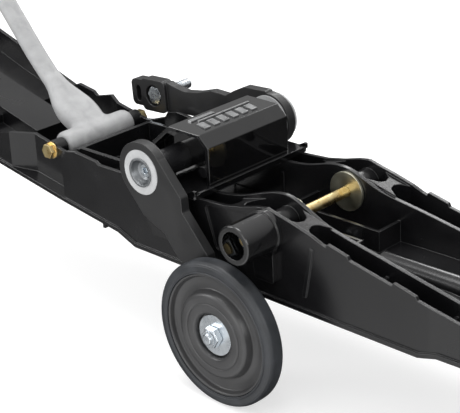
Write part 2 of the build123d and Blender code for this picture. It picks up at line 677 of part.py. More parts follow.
with BuildPart() as wheel_rim:
    ring_section([(RACE_OUT_R, -97.6), (34, -97.6), (37, -101), (52, -101), (54, -97.4), (RIM_R, -97.4),
                  (RIM_R, -113.6), (54.5, -113.6), (52.5, -108.4), (41, -108.4), (38.5, -115.6), (36,
                      -116.4),
                  (23, -116.4), (20.6, -114.5), (20.6, RIM_FLOOR_Y), (RACE_OUT_R, RIM_FLOOR_Y)])
    # lightening pockets behind the web
    with BuildSketch(side_plane(-97)):
        with Locations(AXLE):
            with PolarLocations(25, 8):
                Circle(5)
    extrude(amount=7, mode=Mode.SUBTRACT)
save(wheel_rim, "wheel_rim")

with BuildPart() as wheel_tyre:
    inner, outer = WHEEL_Y
    ring_section([(RIM_R, inner - 0.8), (61, inner), (64.5, inner - 0.6), (67.0, inner - 3), (WHEEL_R,
        inner - 6),
                  (WHEEL_R, outer + 6), (67.0, outer + 3), (64.5, outer + 0.6), (61, outer), (RIM_R,
                      outer + 0.8)])
save(wheel_tyre, "wheel_tyre")

with BuildPart() as bearing_outer_races:
    for y0, y1 in BEARINGS:
        disc(*AXLE, RACE_OUT_R, y0, y1)
    disc(*AXLE, 10.2, -90, -120, Mode.SUBTRACT)
save(bearing_outer_races, "bearing_outer_races")

with BuildPart() as bearing_inner_races:
    for y0, y1 in INNER_RACES:
        disc(*AXLE, RACE_IN_R, y0, y1)
    disc(*AXLE, AXLE_R + 0.02, -90, -120, Mode.SUBTRACT)
save(bearing_inner_races, "bearing_inner_races")

with BuildPart() as bearing_balls:
    for y0, y1 in BEARINGS:
        for i in range(BALL_COUNT):
            a = radians(360 * i / BALL_COUNT)
            r = (RACE_IN_R + 10.2) / 2 + 0.1
            with Locations((AXLE[0] + r * cos(a), (y0 + y1) / 2, AXLE[1] + r * sin(a))):
                Sphere(BALL_R - 0.4)
save(bearing_balls, "bearing_balls")

with BuildPart() as bearing_spacer:
    disc(*AXLE, 7.0, INNER_RACES[0][1], INNER_RACES[1][0])
    disc(*AXLE, AXLE_R + 0.02, -90, -120, Mode.SUBTRACT)
save(bearing_spacer, "bearing_spacer")

with BuildPart() as axle_spacer:
    disc(*AXLE, 8.5, -ARM_IN[NEAR] - ARM_T, INNER_RACES[0][0])
    disc(*AXLE, AXLE_R + 0.02, -80, -120, Mode.SUBTRACT)
save(axle_spacer, "axle_spacer")

with BuildPart() as axle_washer:
    disc(*AXLE, 18.8, -110.8, -112.8)
    disc(*AXLE, AXLE_R + 0.1, -100, -120, Mode.SUBTRACT)
save(axle_washer, "axle_washer")

with BuildPart() as axle_nut:
    hexagon(*AXLE, HEX_AF, -112.8, -119.2)
    disc(*AXLE, 7.4, -119.2, -121.6)
    disc(*AXLE, AXLE_R + 0.02, -110, -125, Mode.SUBTRACT)
save(axle_nut, "axle_nut")
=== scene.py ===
import json
import math
import bpy
import bmesh
from mathutils import Matrix, Vector, noise


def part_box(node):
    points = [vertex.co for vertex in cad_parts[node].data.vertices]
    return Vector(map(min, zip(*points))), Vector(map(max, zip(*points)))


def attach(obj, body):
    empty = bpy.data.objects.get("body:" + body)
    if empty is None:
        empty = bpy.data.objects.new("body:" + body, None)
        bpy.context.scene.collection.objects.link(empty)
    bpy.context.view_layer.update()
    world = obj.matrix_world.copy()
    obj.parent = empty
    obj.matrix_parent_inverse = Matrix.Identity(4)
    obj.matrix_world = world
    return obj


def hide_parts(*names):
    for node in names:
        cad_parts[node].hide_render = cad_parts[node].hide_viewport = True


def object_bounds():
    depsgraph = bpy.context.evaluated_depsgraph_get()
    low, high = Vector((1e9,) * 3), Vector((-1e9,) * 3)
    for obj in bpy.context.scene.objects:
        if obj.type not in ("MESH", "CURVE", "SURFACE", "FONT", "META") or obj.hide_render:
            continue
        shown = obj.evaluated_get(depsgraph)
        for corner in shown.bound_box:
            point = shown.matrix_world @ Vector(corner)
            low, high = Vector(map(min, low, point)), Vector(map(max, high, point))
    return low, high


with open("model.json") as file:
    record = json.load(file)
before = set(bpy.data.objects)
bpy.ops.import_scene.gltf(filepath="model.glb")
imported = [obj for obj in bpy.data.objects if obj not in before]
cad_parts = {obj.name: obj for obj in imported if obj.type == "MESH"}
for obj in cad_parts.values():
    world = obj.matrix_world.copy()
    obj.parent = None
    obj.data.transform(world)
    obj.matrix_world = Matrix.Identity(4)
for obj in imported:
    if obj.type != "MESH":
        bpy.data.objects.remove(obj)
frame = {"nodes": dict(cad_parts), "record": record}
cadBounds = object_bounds()
mm = 0.001


# camera first: a long lens from the rear quarter, a little above
cameraSettings = {
    "place": (0.7818, -0.8980, 0.5222),
    "yaw": 44.870,
    "pitch": 23.671,
    "roll": -2.715,
    "lens": 116.12,
    "sensor": 36.0,
}


def addCamera(s):
    yaw, pitch, roll = (math.radians(s[k]) for k in ("yaw", "pitch", "roll"))
    ahead = Vector((-math.sin(yaw) * math.cos(pitch), math.cos(yaw) * math.cos(pitch), -math.sin(pitch)))
    right = ahead.cross(Vector((0, 0, 1))).normalized()
    up = right.cross(ahead)
    tiltedRight = right * math.cos(roll) + up * math.sin(roll)
    tiltedUp = up * math.cos(roll) - right * math.sin(roll)
    data = bpy.data.cameras.new("studioCamera")
    data.lens = s["lens"]
    data.sensor_width = s["sensor"]
    data.sensor_fit = "HORIZONTAL"
    data.clip_start = 0.05
    data.clip_end = 60
    camera = bpy.data.objects.new("studioCamera", data)
    turn = Matrix((tiltedRight, tiltedUp, -ahead)).transposed().to_4x4()
    camera.matrix_world = Matrix.Translation(s["place"]) @ turn
    bpy.context.collection.objects.link(camera)
    bpy.context.scene.camera = camera


addCamera(cameraSettings)
print("camera placed")

# node helpers


def addNode(tree, kind, **values):
    node = tree.nodes.new(kind)
    for key, value in values.items():
        setattr(node, key, value)
    return node


def wire(tree, source, target):
    tree.links.new(source, target)


def addSocket(tree, name, kind, inOut, value=None):
    socket = tree.interface.new_socket(name=name, in_out=inOut, socket_type=kind)
    if value is not None:
        socket.default_value = value
    return socket


def mathNode(tree, operation, a, b=None, clamp=False):
    node = addNode(tree, "ShaderNodeMath", operation=operation, use_clamp=clamp)
    for slot, value in ((0, a), (1, b)):
        if value is None:
            continue
        if isinstance(value, (int, float)):
            node.inputs[slot].default_value = value
        else:
            wire(tree, value, node.inputs[slot])
    return node.outputs[0]


def buildEdgeGroup():
    # rounds the shading of sharp edges and marks where they are; the mask carries a painted highlight along
    # the edges
    tree = bpy.data.node_groups.new("edgeRoundingAndPaintedHighlight", "ShaderNodeTree")
    addSocket(tree, "Radius", "NodeSocketFloat", "INPUT", 0.001)
    addSocket(tree, "Ragged", "NodeSocketFloat", "INPUT", 0.4)
    addSocket(tree, "Mask", "NodeSocketFloat", "OUTPUT")
    addSocket(tree, "Normal", "NodeSocketVector", "OUTPUT")
    enter, leave = addNode(tree, "NodeGroupInput"), addNode(tree, "NodeGroupOutput")
    bevel = addNode(tree, "ShaderNodeBevel", samples=6)
    wire(tree, enter.outputs["Radius"], bevel.inputs["Radius"])
    geometry = addNode(tree, "ShaderNodeNewGeometry")
    dot = addNode(tree, "ShaderNodeVectorMath", operation="DOT_PRODUCT")
    wire(tree, bevel.outputs["Normal"], dot.inputs[0])
    wire(tree, geometry.outputs["Normal"], dot.inputs[1])
    edge = mathNode(tree, "SUBTRACT", 1.0, dot.outputs["Value"])
    edge = mathNode(tree, "MULTIPLY", edge, 4.0, True)
    place = addNode(tree, "ShaderNodeTexCoord")
    patch = addNode(tree, "ShaderNodeTexNoise")
    patch.inputs["Scale"].default_value = 140
    patch.inputs["Detail"].default_value = 4
    wire(tree, place.outputs["Object"], patch.inputs["Vector"])
    broken = mathNode(tree, "MULTIPLY", patch.outputs["Fac"], enter.outputs["Ragged"])
    mask = mathNode(tree, "SUBTRACT", edge, broken, True)
    wire(tree, mask, leave.inputs["Mask"])
    wire(tree, bevel.outputs["Normal"], leave.inputs["Normal"])
    return tree


def buildGrainGroup():
    # fine moulding grain, with slow flow marks under it
    tree = bpy.data.node_groups.new("mouldGrain", "ShaderNodeTree")
    addSocket(tree, "Grain Scale", "NodeSocketFloat", "INPUT", 900)
    addSocket(tree, "Cloud Scale", "NodeSocketFloat", "INPUT", 18)
    addSocket(tree, "Height", "NodeSocketFloat", "OUTPUT")
    addSocket(tree, "Cloud", "NodeSocketFloat", "OUTPUT")
    addSocket(tree, "Speckle", "NodeSocketFloat", "OUTPUT")
    enter, leave = addNode(tree, "NodeGroupInput"), addNode(tree, "NodeGroupOutput")
    place = addNode(tree, "ShaderNodeTexCoord")
    fine = addNode(tree, "ShaderNodeTexNoise")
    fine.inputs["Detail"].default_value = 3
    cloud = addNode(tree, "ShaderNodeTexNoise")
    cloud.inputs["Detail"].default_value = 5
    cloud.inputs["Distortion"].default_value = 0.6
    speckle = addNode(tree, "ShaderNodeTexVoronoi", feature="F1")
    wire(tree, enter.outputs["Grain Scale"], fine.inputs["Scale"])
    wire(tree, enter.outputs["Grain Scale"], speckle.inputs["Scale"])
    wire(tree, enter.outputs["Cloud Scale"], cloud.inputs["Scale"])
    for texture in (fine, cloud, speckle):
        wire(tree, place.outputs["Object"], texture.inputs["Vector"])
    wire(tree, fine.outputs["Fac"], leave.inputs["Height"])
    wire(tree, cloud.outputs["Fac"], leave.inputs["Cloud"])
    wire(tree, speckle.outputs["Distance"], leave.inputs["Speckle"])
    return tree


edgeGroup = buildEdgeGroup()
grainGroup = buildGrainGroup()


def placeGroup(tree, group, **values):
    node = addNode(tree, "ShaderNodeGroup", node_tree=group)
    for key, value in values.items():
        node.inputs[key.replace("_", " ")].default_value = value
    return node


def mixColours(tree, factor, first, second):
    node = addNode(tree, "ShaderNodeMix", data_type="RGBA")
    wire(tree, factor, node.inputs[0])
    for socket, value in ((node.inputs[6], first), (node.inputs[7], second)):
        if isinstance(value, tuple):
            socket.default_value = (*value, 1)
        else:
            wire(tree, value, socket)
    return node.outputs[2]


def spread(tree, value, low, high, fromLow=0.3, fromHigh=0.7):
    node = addNode(tree, "ShaderNodeMapRange")
    wire(tree, value, node.inputs[0])
    for slot, number in zip((1, 2, 3, 4), (fromLow, fromHigh, low, high)):
        node.inputs[slot].default_value = number
    return node.outputs[0]


def makeFinish(name, s):
    material = bpy.data.materials.new(name)
    material.use_nodes = True
    tree = material.node_tree
    shader = tree.nodes["Principled BSDF"]
    grain = placeGroup(tree, grainGroup, Grain_Scale=s["grain"], Cloud_Scale=s["cloud"])
    edge = placeGroup(tree, edgeGroup, Radius=s["edge"], Ragged=s.get("ragged", 0.5))
    cloudMask = spread(tree, grain.outputs["Cloud"], 0, 1)
    colour = mixColours(tree, cloudMask, s["dark"], s["light"])
    if "speckle" in s:
        dots = spread(tree, grain.outputs["Speckle"], 1, 0, 0.12, 0.3)
        dots = mathNode(tree, "MULTIPLY", dots, s.get("speckleAmount", 0.4))
        colour = mixColours(tree, dots, colour, s["speckle"])
    # painted highlight: a lighter colour laid along the edges, standing in for light catching them
    paintedEdgeHighlight = mathNode(tree, "MULTIPLY", edge.outputs["Mask"], s["edgeHighlightAmount"])
    colour = mixColours(tree, paintedEdgeHighlight, colour, s["edgeHighlightColour"])
    wire(tree, colour, shader.inputs["Base Color"])
    wire(tree, spread(tree, grain.outputs["Cloud"], *s["rough"]), shader.inputs["Roughness"])
    bump = addNode(tree, "ShaderNodeBump")
    bump.inputs["Strength"].default_value = s.get("bumpStrength", 0.5)
    bump.inputs["Distance"].default_value = s["bump"]
    wire(tree, grain.outputs["Height"], bump.inputs["Height"])
    wire(tree, edge.outputs["Normal"], bump.inputs["Normal"])
    wire(tree, bump.outputs["Normal"], shader.inputs["Normal"])
    shader.inputs["Metallic"].default_value = s.get("metal", 0)
    shader.inputs["Coat Weight"].default_value = s.get("coat", 0)
    shader.inputs["Coat Roughness"].default_value = s.get("coatRough", 0.1)
    shader.inputs["Specular IOR Level"].default_value = s.get("specular", 0.5)
    return material


# finishes; the lighter edge colour in each is a painted highlight
skiFinish = {
    "dark": (0.0045, 0.0045, 0.005), "light": (0.008, 0.008, 0.0086), "rough": (0.17, 0.28),
    "grain": 700, "cloud": 22, "bump": 0.00012, "edge": 0.0011,
    "edgeHighlightAmount": 0.5, "edgeHighlightColour": (0.09, 0.09, 0.092), "specular": 0.5,
}
kitFinish = {
    "dark": (0.003, 0.003, 0.0033), "light": (0.005, 0.005, 0.0054), "rough": (0.06, 0.11),
    "grain": 260, "cloud": 30, "bump": 0.00005, "edge": 0.0012,
    "edgeHighlightAmount": 0.5, "edgeHighlightColour": (0.12, 0.12, 0.122), "coat": 0.6, "coatRough": 0.04,
}
armFinish = {
    "dark": (0.012, 0.012, 0.0125), "light": (0.018, 0.018, 0.0185), "rough": (0.30, 0.40),
    "grain": 1500, "cloud": 26, "bump": 0.00010, "edge": 0.0011,
    "edgeHighlightAmount": 0.55, "edgeHighlightColour": (0.15, 0.15, 0.152),
}
loopFinish = {
    "dark": (0.27, 0.272, 0.275), "light": (0.35, 0.352, 0.355), "rough": (0.42, 0.56),
    "grain": 900, "cloud": 75, "bump": 0.0003, "edge": 0.0012, "bumpStrength": 0.35,
    "speckle": (0.42, 0.425, 0.43), "speckleAmount": 0.25,
    "edgeHighlightAmount": 0.2, "edgeHighlightColour": (0.62, 0.63, 0.64),
}
nylonFinish = {
    "dark": (0.36, 0.365, 0.37), "light": (0.44, 0.445, 0.45), "rough": (0.34, 0.44),
    "grain": 1200, "cloud": 60, "bump": 0.00006, "edge": 0.0009,
    "edgeHighlightAmount": 0.2, "edgeHighlightColour": (0.5, 0.5, 0.5),
}
zincFinish = {
    "dark": (0.52, 0.56, 0.60), "light": (0.72, 0.76, 0.79), "rough": (0.20, 0.34),
    "grain": 1400, "cloud": 120, "bump": 0.00006, "edge": 0.0006, "metal": 1,
    "edgeHighlightAmount": 0.3, "edgeHighlightColour": (0.85, 0.87, 0.88),
}
yellowZincFinish = {
    "dark": (0.66, 0.44, 0.16), "light": (0.78, 0.66, 0.36), "rough": (0.22, 0.36),
    "grain": 1100, "cloud": 95, "bump": 0.00006, "edge": 0.0006, "metal": 1,
    "speckle": (0.58, 0.62, 0.34), "speckleAmount": 0.18,
    "edgeHighlightAmount": 0.25, "edgeHighlightColour": (0.80, 0.76, 0.62),
}
dullZincFinish = {
    "dark": (0.20, 0.21, 0.22), "light": (0.30, 0.31, 0.32), "rough": (0.40, 0.52),
    "grain": 1200, "cloud": 90, "bump": 0.00008, "edge": 0.0007, "metal": 1,
    "edgeHighlightAmount": 0.35, "edgeHighlightColour": (0.60, 0.61, 0.62),
}
paleZincFinish = {
    "dark": (0.62, 0.60, 0.46), "light": (0.72, 0.71, 0.58), "rough": (0.30, 0.42),
    "grain": 900, "cloud": 80, "bump": 0.00006, "edge": 0.0006, "metal": 1,
    "edgeHighlightAmount": 0.25, "edgeHighlightColour": (0.82, 0.80, 0.70),
}
steelFinish = {
    "dark": (0.30, 0.30, 0.31), "light": (0.46, 0.46, 0.47), "rough": (0.28, 0.42),
    "grain": 1600, "cloud": 60, "bump": 0.00008, "edge": 0.0006, "metal": 1,
    "edgeHighlightAmount": 0.3, "edgeHighlightColour": (0.70, 0.70, 0.70),
}
blackSteelFinish = {
    "dark": (0.008, 0.008, 0.009), "light": (0.014, 0.014, 0.015), "rough": (0.20, 0.28),
    "grain": 800, "cloud": 40, "bump": 0.00008, "edge": 0.0009, "coat": 0.2,
    "edgeHighlightAmount": 0.3, "edgeHighlightColour": (0.12, 0.12, 0.12),
}
emblemFinish = {
    "dark": (0.34, 0.345, 0.35), "light": (0.46, 0.465, 0.47), "rough": (0.26, 0.36),
    "grain": 1600, "cloud": 120, "bump": 0.00004, "edge": 0.0004, "metal": 0.9,
    "edgeHighlightAmount": 0.2, "edgeHighlightColour": (0.9, 0.9, 0.9),
}
# the blue-grey edge colour paints the glints on the tyre's rounded corners
rubberFinish = {
    "dark": (0.016, 0.0175, 0.020), "light": (0.032, 0.035, 0.040), "rough": (0.36, 0.52),
    "grain": 1300, "cloud": 38, "bump": 0.0002, "edge": 0.0009,
    "speckle": (0.09, 0.11, 0.13), "speckleAmount": 0.10,
    "edgeHighlightAmount": 0.5, "edgeHighlightColour": (0.07, 0.085, 0.10),
}
rimFinish = {
    "dark": (0.034, 0.034, 0.035), "light": (0.048, 0.048, 0.049), "rough": (0.28, 0.38),
    "grain": 1000, "cloud": 34, "bump": 0.0001, "edge": 0.0009,
    "edgeHighlightAmount": 0.35, "edgeHighlightColour": (0.10, 0.10, 0.105),
}

finishes = {
    "ski_plastic": makeFinish("skiPlastic", skiFinish),
    "kit_plastic": makeFinish("kitPlastic", kitFinish),
    "arm_plastic": makeFinish("armPlastic", armFinish),
    "loop_plastic": makeFinish("loopPlastic", loopFinish),
    "nylon": makeFinish("nylon", nylonFinish),
    "zinc": makeFinish("zincPlate", zincFinish),
    "yellow_zinc": makeFinish("yellowZinc", yellowZincFinish),
    "steel": makeFinish("groundSteel", steelFinish),
    "black_steel": makeFinish("blackSteel", blackSteelFinish),
    "emblem": makeFinish("silverMarks", emblemFinish),
    "rubber": makeFinish("wheelRubber", rubberFinish),
    "rim_plastic": makeFinish("rimPlastic", rimFinish),
}
paleZinc = makeFinish("paleZinc", paleZincFinish)
dullZinc = makeFinish("dullZinc", dullZincFinish)

slotOf = {entry["node"]: entry["material_slot"] for entry in frame["record"]["subparts"]}


def paint(obj, material):
    if not obj.material_slots:
        obj.data.materials.append(material)
    for slot in obj.material_slots:
        slot.material = material


for nodeName, obj in frame["nodes"].items():
    paint(obj, finishes[slotOf[nodeName]])
for nodeName in ("leg_washer_near", "leg_washer_far"):
    paint(frame["nodes"][nodeName], paleZinc)
for nodeName in ("hub_cup_near", "hub_cup_far"):
    paint(frame["nodes"][nodeName], dullZinc)
print("finishes on", len(frame["nodes"]), "frame nodes")

# mesh helpers


def finishPiece(obj, body, slot, material=None):
    paint(obj, material or finishes[slot])
    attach(obj, body)
    return obj


def meshObject(name, mesh):
    obj = bpy.data.objects.new(name, mesh)
    bpy.context.collection.objects.link(obj)
    return obj


def boxCentre(node):
    low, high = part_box(node)
    return Vector([(a + b) / 2 for a, b in zip(low, high)])


def softCorners(points, radius, steps=4):
    out = []
    count = len(points)
    for i, corner in enumerate(points):
        before, after = Vector(points[i - 1]), Vector(points[(i + 1) % count])
        here = Vector(corner)
        reachIn = min(radius, (before - here).length * 0.45)
        reachOut = min(radius, (after - here).length * 0.45)
        start = here + (before - here).normalized() * reachIn
        end = here + (after - here).normalized() * reachOut
        for k in range(steps + 1):
            t = k / steps
            out.append(start * (1 - t) ** 2 + here * 2 * t * (1 - t) + end * t ** 2)
    return out


def latheAboutY(name, profile, centre, steps=144):
    mesh = bpy.data.meshes.new(name)
    build = bmesh.new()
    rings = []
    for k in range(steps):
        angle = 2 * math.pi * k / steps
        cosine, sine = math.cos(angle), math.sin(angle)
        rings.append([build.verts.new((centre.x + p[0] * cosine, p[1], centre.z + p[0] * sine))
                      for p in profile])
    count = len(profile)
    for k in range(steps):
        here, following = rings[k], rings[(k + 1) % steps]
        for i in range(count):
            j = (i + 1) % count
            build.faces.new((here[i], here[j], following[j], following[i]))
    bmesh.ops.recalc_face_normals(build, faces=build.faces)
    for face in build.faces:
        face.smooth = True
    build.to_mesh(mesh)
    build.free()
    mesh.set_sharp_from_angle(angle=math.radians(38))
    return meshObject(name, mesh)


# wheel
axle = boxCentre("wheel_tyre")
wheelSettings = {"steps": 160, "rimCorner": 1.1 * mm, "tyreCorner": 2.2 * mm,
                 "seat": 57 * mm, "rimFloor": -110 * mm}


def addWheel(s):
    low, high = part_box("wheel_tyre")
    outer, inner = low[1], high[1]
    tread = (high[0] - low[0]) / 2
    seat = s["seat"]
    side = [(seat, inner - 0.8 * mm), (60 * mm, inner - 0.2 * mm), (63.5 * mm, inner - 0.4 * mm),
            (tread - 0.2 * mm, inner - 3.4 * mm), (tread, inner - 6 * mm), (tread, outer + 6 * mm),
            (tread - 0.2 * mm, outer + 3.4 * mm), (65.0 * mm, outer + 0.8 * mm),
            (64.4 * mm, outer + 1.1 * mm),
            (63.8 * mm, outer + 0.5 * mm), (59.4 * mm, outer + 0.1 * mm), (58.9 * mm, outer + 0.7 * mm),
            (58.2 * mm, outer + 0.7 * mm), (57.8 * mm, outer + 0.2 * mm), (seat, outer + 0.3 * mm)]
    tyre = latheAboutY("wheelTyre", softCorners(side, s["tyreCorner"], 4), axle, s["steps"])
    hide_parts("wheel_tyre")
    finishPiece(tyre, "wheel", "rubber")
    rimLow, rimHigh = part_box("wheel_rim")
    face = rimLow[1]
    back = rimHigh[1]
    floor = s["rimFloor"]
    section = [(13 * mm, back), (34 * mm, back), (37 * mm, back - 3.4 * mm), (52 * mm, back - 3.4 * mm),
               (54 * mm, back), (seat, back), (seat, face + 2.8 * mm), (55.4 * mm, face + 2.6 * mm),
               (54.4 * mm, face + 3.4 * mm), (53.2 * mm, face + 7.6 * mm), (47 * mm, face + 8.3 * mm),
               (41.5 * mm, face + 7.9 * mm), (39.4 * mm, face + 1.4 * mm), (37 * mm, face),
               (31.5 * mm, face + 0.05 * mm), (31.0 * mm, face + 0.5 * mm), (30.2 * mm, face + 0.5 * mm),
               (29.7 * mm, face + 0.05 * mm), (22.4 * mm, face), (20.6 * mm, face + 1.8 * mm),
               (20.6 * mm, floor), (13 * mm, floor)]
    rim = latheAboutY("wheelRim", softCorners(section, s["rimCorner"], 3), axle, s["steps"])
    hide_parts("wheel_rim")
    finishPiece(rim, "wheel", "rim_plastic")


addWheel(wheelSettings)
print("wheel turned")

# ski loop: the frame's loop remeshed so that bar, fan, hub and tongue flow together
loopSettings = {"voxel": 1.5 * mm, "smooth": 14, "ridge": 0.9 * mm, "ridgeWidth": 5 * mm,
                "ridgeFrom": 20 * mm, "ridgeTo": 115 * mm, "fadeIn": 20 * mm, "fadeOut": 30 * mm,
                "weld": 0.02 * mm, "ripple": 0.12 * mm, "rippleScale": 160}


def addLoop(s):
    source = frame["nodes"]["ski_loop"]
    mesh = source.data.copy()
    loop = meshObject("skiLoop", mesh)
    weld = loop.modifiers.new("weld", "WELD")
    weld.merge_threshold = s["weld"]
    remesh = loop.modifiers.new("remesh", "REMESH")
    remesh.mode = "VOXEL"
    remesh.voxel_size = s["voxel"]
    smooth = loop.modifiers.new("smooth", "CORRECTIVE_SMOOTH")
    smooth.iterations = s["smooth"]
    smooth.use_only_smooth = True
    smooth.factor = 0.6
    flat = bpy.data.meshes.new_from_object(loop.evaluated_get(bpy.context.evaluated_depsgraph_get()))
    loop.modifiers.clear()
    loop.data = flat
    # low ridge down the middle of the fan, fading towards the hub
    hub = boxCentre("loop_rear_bolt")
    for v in flat.vertices:
        ahead = hub.x - v.co.x
        if s["ridgeFrom"] < ahead < s["ridgeTo"] and v.normal.z > 0.1:
            rise = min(1, (ahead - s["ridgeFrom"]) / s["fadeIn"])
            fade = rise * min(1, (s["ridgeTo"] - ahead) / s["fadeOut"])
            ridge = math.exp(-(v.co.y / s["ridgeWidth"]) ** 2)
            v.co += v.normal * s["ridge"] * ridge * fade
        v.co += v.normal * s["ripple"] * noise.noise(v.co * s["rippleScale"])
    for polygon in flat.polygons:
        polygon.use_smooth = True
    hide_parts("ski_loop")
    finishPiece(loop, "ski", "loop_plastic")


addLoop(loopSettings)
print("loop smoothed")

# geometry node trees for what repeats


def startTree(name, inputs):
    tree = bpy.data.node_groups.new(name, "GeometryNodeTree")
    addSocket(tree, "Geometry", "NodeSocketGeometry", "INPUT")
    addSocket(tree, "Geometry", "NodeSocketGeometry", "OUTPUT")
    for label, kind, value in inputs:
        addSocket(tree, label, kind, "INPUT", value)
    return tree, addNode(tree, "NodeGroupInput"), addNode(tree, "NodeGroupOutput")


def endTree(tree, enter, leave, geometry):
    realize = addNode(tree, "GeometryNodeRealizeInstances")
    setMaterial = addNode(tree, "GeometryNodeSetMaterial")
    wire(tree, geometry, realize.inputs[0])
    wire(tree, realize.outputs[0], setMaterial.inputs["Geometry"])
    wire(tree, enter.outputs["Material"], setMaterial.inputs["Material"])
    wire(tree, setMaterial.outputs[0], leave.inputs[0])


def runTree(name, tree, values, place):
    holder = meshObject(name, bpy.data.meshes.new(name + "Seed"))
    modifier = holder.modifiers.new("build", "NODES")
    modifier.node_group = tree
    for item in tree.interface.items_tree:
        if item.in_out == "INPUT" and item.name in values:
            modifier[item.identifier] = values[item.name]
    bpy.context.view_layer.update()
    mesh = bpy.data.meshes.new_from_object(holder.evaluated_get(bpy.context.evaluated_depsgraph_get()))
    holder.modifiers.clear()
    holder.data = mesh
    mesh.transform(place)
    return holder


def alongY(centre, y, facing):
    turn = Matrix.Rotation(math.radians(-90 * facing), 4, "X")
    return Matrix.Translation((centre.x, y, centre.z)) @ turn


def stackPart(tree, source, height):
    up = addNode(tree, "ShaderNodeCombineXYZ")
    wire(tree, height, up.inputs["Z"])
    lift = addNode(tree, "GeometryNodeTransform")
    wire(tree, source, lift.inputs["Geometry"])
    wire(tree, up.outputs[0], lift.inputs["Translation"])
    return lift.outputs[0]


def addRound(tree, sides, low, high, depth):
    cone = addNode(tree, "GeometryNodeMeshCone")
    cone.inputs["Vertices"].default_value = sides
    wire(tree, high, cone.inputs["Radius Top"])
    wire(tree, low, cone.inputs["Radius Bottom"])
    wire(tree, depth, cone.inputs["Depth"])
    return cone.outputs["Mesh"]


def buildNutTree():
    # hexagon with turned corners at both ends and a locking collar on top
    tree, enter, leave = startTree("lockNut", (
        ("Flats", "NodeSocketFloat", 0.017), ("Height", "NodeSocketFloat", 0.006),
        ("Turned", "NodeSocketFloat", 0.0009), ("Collar Radius", "NodeSocketFloat", 0.0074),
        ("Collar Height", "NodeSocketFloat", 0.0024), ("Material", "NodeSocketMaterial", None)))
    corner = mathNode(tree, "DIVIDE", enter.outputs["Flats"], math.sqrt(3))
    inner = mathNode(tree, "SUBTRACT", corner, enter.outputs["Turned"])
    height, turned = enter.outputs["Height"], enter.outputs["Turned"]
    straight = mathNode(tree, "SUBTRACT", height, mathNode(tree, "MULTIPLY", turned, 2))
    parts = [
        addRound(tree, 6, inner, corner, turned),
        stackPart(tree, addRound(tree, 6, corner, corner, straight), turned),
        stackPart(tree, addRound(tree, 6, corner, inner, turned), mathNode(tree, "SUBTRACT", height, turned)),
        stackPart(tree, addRound(tree, 48, enter.outputs["Collar Radius"], enter.outputs["Collar Radius"],
                                 enter.outputs["Collar Height"]), height)]
    join = addNode(tree, "GeometryNodeJoinGeometry")
    for part in parts:
        wire(tree, part, join.inputs[0])
    endTree(tree, enter, leave, join.outputs[0])
    return tree


def buildThreadTree():
    tree, enter, leave = startTree("screwThread", (
        ("Radius", "NodeSocketFloat", 0.005), ("Length", "NodeSocketFloat", 0.01),
        ("Pitch", "NodeSocketFloat", 0.0015), ("Material", "NodeSocketMaterial", None)))
    spiral = addNode(tree, "GeometryNodeCurveSpiral")
    spiral.inputs["Resolution"].default_value = 40
    turns = mathNode(tree, "DIVIDE", enter.outputs["Length"], enter.outputs["Pitch"])
    wire(tree, turns, spiral.inputs["Rotations"])
    wire(tree, enter.outputs["Radius"], spiral.inputs["Start Radius"])
    wire(tree, enter.outputs["Radius"], spiral.inputs["End Radius"])
    wire(tree, enter.outputs["Length"], spiral.inputs["Height"])
    section = addNode(tree, "GeometryNodeCurvePrimitiveCircle", mode="RADIUS")
    section.inputs["Resolution"].default_value = 5
    width = mathNode(tree, "MULTIPLY", enter.outputs["Pitch"], 0.34)
    wire(tree, width, section.inputs["Radius"])
    sweep = addNode(tree, "GeometryNodeCurveToMesh")
    sweep.inputs["Fill Caps"].default_value = True
    wire(tree, spiral.outputs["Curve"], sweep.inputs["Curve"])
    wire(tree, section.outputs["Curve"], sweep.inputs["Profile Curve"])
    endTree(tree, enter, leave, sweep.outputs["Mesh"])
    return tree


nutTree = buildNutTree()
threadTree = buildThreadTree()


def addNut(name, node, body, slot, facing, s):
    low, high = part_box(node)
    centre = boxCentre(node)
    seat = low[1] if facing > 0 else high[1]
    values = {"Flats": s["flats"], "Height": s["height"], "Turned": s["turned"],
              "Collar Radius": s["collar"], "Collar Height": s["collarHeight"], "Material": finishes[slot]}
    nut = runTree(name, nutTree, values, alongY(centre, seat, facing))
    nut.data.set_sharp_from_angle(angle=math.radians(25))
    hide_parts(node)
    return finishPiece(nut, body, slot)


axleNutSettings = {"flats": 17 * mm, "height": 6.4 * mm, "turned": 0.8 * mm, "collar": 7.4 * mm,
                   "collarHeight": 2.4 * mm}
legNutSettings = {"flats": 16 * mm, "height": 5.8 * mm, "turned": 0.8 * mm, "collar": 7.2 * mm,
                  "collarHeight": 3.0 * mm}
addNut("axleNut", "axle_nut", "near_arm", "zinc", -1, axleNutSettings)
addNut("legNut", "leg_nut", "ski", "zinc", -1, legNutSettings)


def addThread(name, node, body, slot, end, s):
    low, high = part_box(node)
    centre = boxCentre(node)
    tip = low[1] if end < 0 else high[1]
    start = tip - end * (s["length"] + 0.0009)
    values = {"Radius": s["radius"], "Length": s["length"], "Pitch": s["pitch"], "Material": finishes[slot]}
    thread = runTree(name, threadTree, values, alongY(centre, start, end))
    for polygon in thread.data.polygons:
        polygon.use_smooth = True
    return finishPiece(thread, body, slot)


axleThreadSettings = {"radius": 4.78 * mm, "length": 9.5 * mm, "pitch": 1.5 * mm}
legThreadSettings = {"radius": 4.78 * mm, "length": 8.5 * mm, "pitch": 1.5 * mm}
addThread("axleThread", "axle_bolt", "near_arm", "zinc", -1, axleThreadSettings)
addThread("farAxleThread", "far_axle_bolt", "far_arm", "zinc", 1, axleThreadSettings)
addThread("legThread", "leg_bolt", "ski", "yellow_zinc", -1, legThreadSettings)
print("nuts and threads made")


